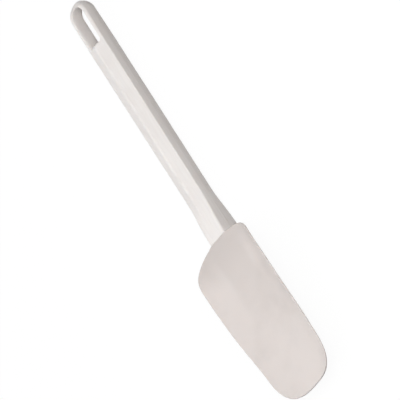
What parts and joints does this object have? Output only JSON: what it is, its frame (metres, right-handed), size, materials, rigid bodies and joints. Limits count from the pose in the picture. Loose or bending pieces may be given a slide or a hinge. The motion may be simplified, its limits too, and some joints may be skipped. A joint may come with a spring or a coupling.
{
  "type": "spoon spatula",
  "caption": "Spoon spatula: a six-sided plastic handle with a hanging slot and a soft, shallow spoon-shaped blade moulded over its tang.",
  "frame": {"origin": "centre of the bounding box's bottom: z = 0 is the flat back of the handle's root, on which the tool lies", "axes": "+Y along the handle to the hanging slot, +Z out of the hollow front of the blade, +X across the blade"},
  "size_m": [0.0536, 0.254, 0.0167],
  "materials": {
    "handle_plastic": "satin moulded polypropylene, white",
    "blade_elastomer": "matte moulded thermoplastic elastomer, off-white"
  },
  "bodies": {
    "root": {"handle": "handle_plastic", "blade": "blade_elastomer"}
  },
  "joints": []
}
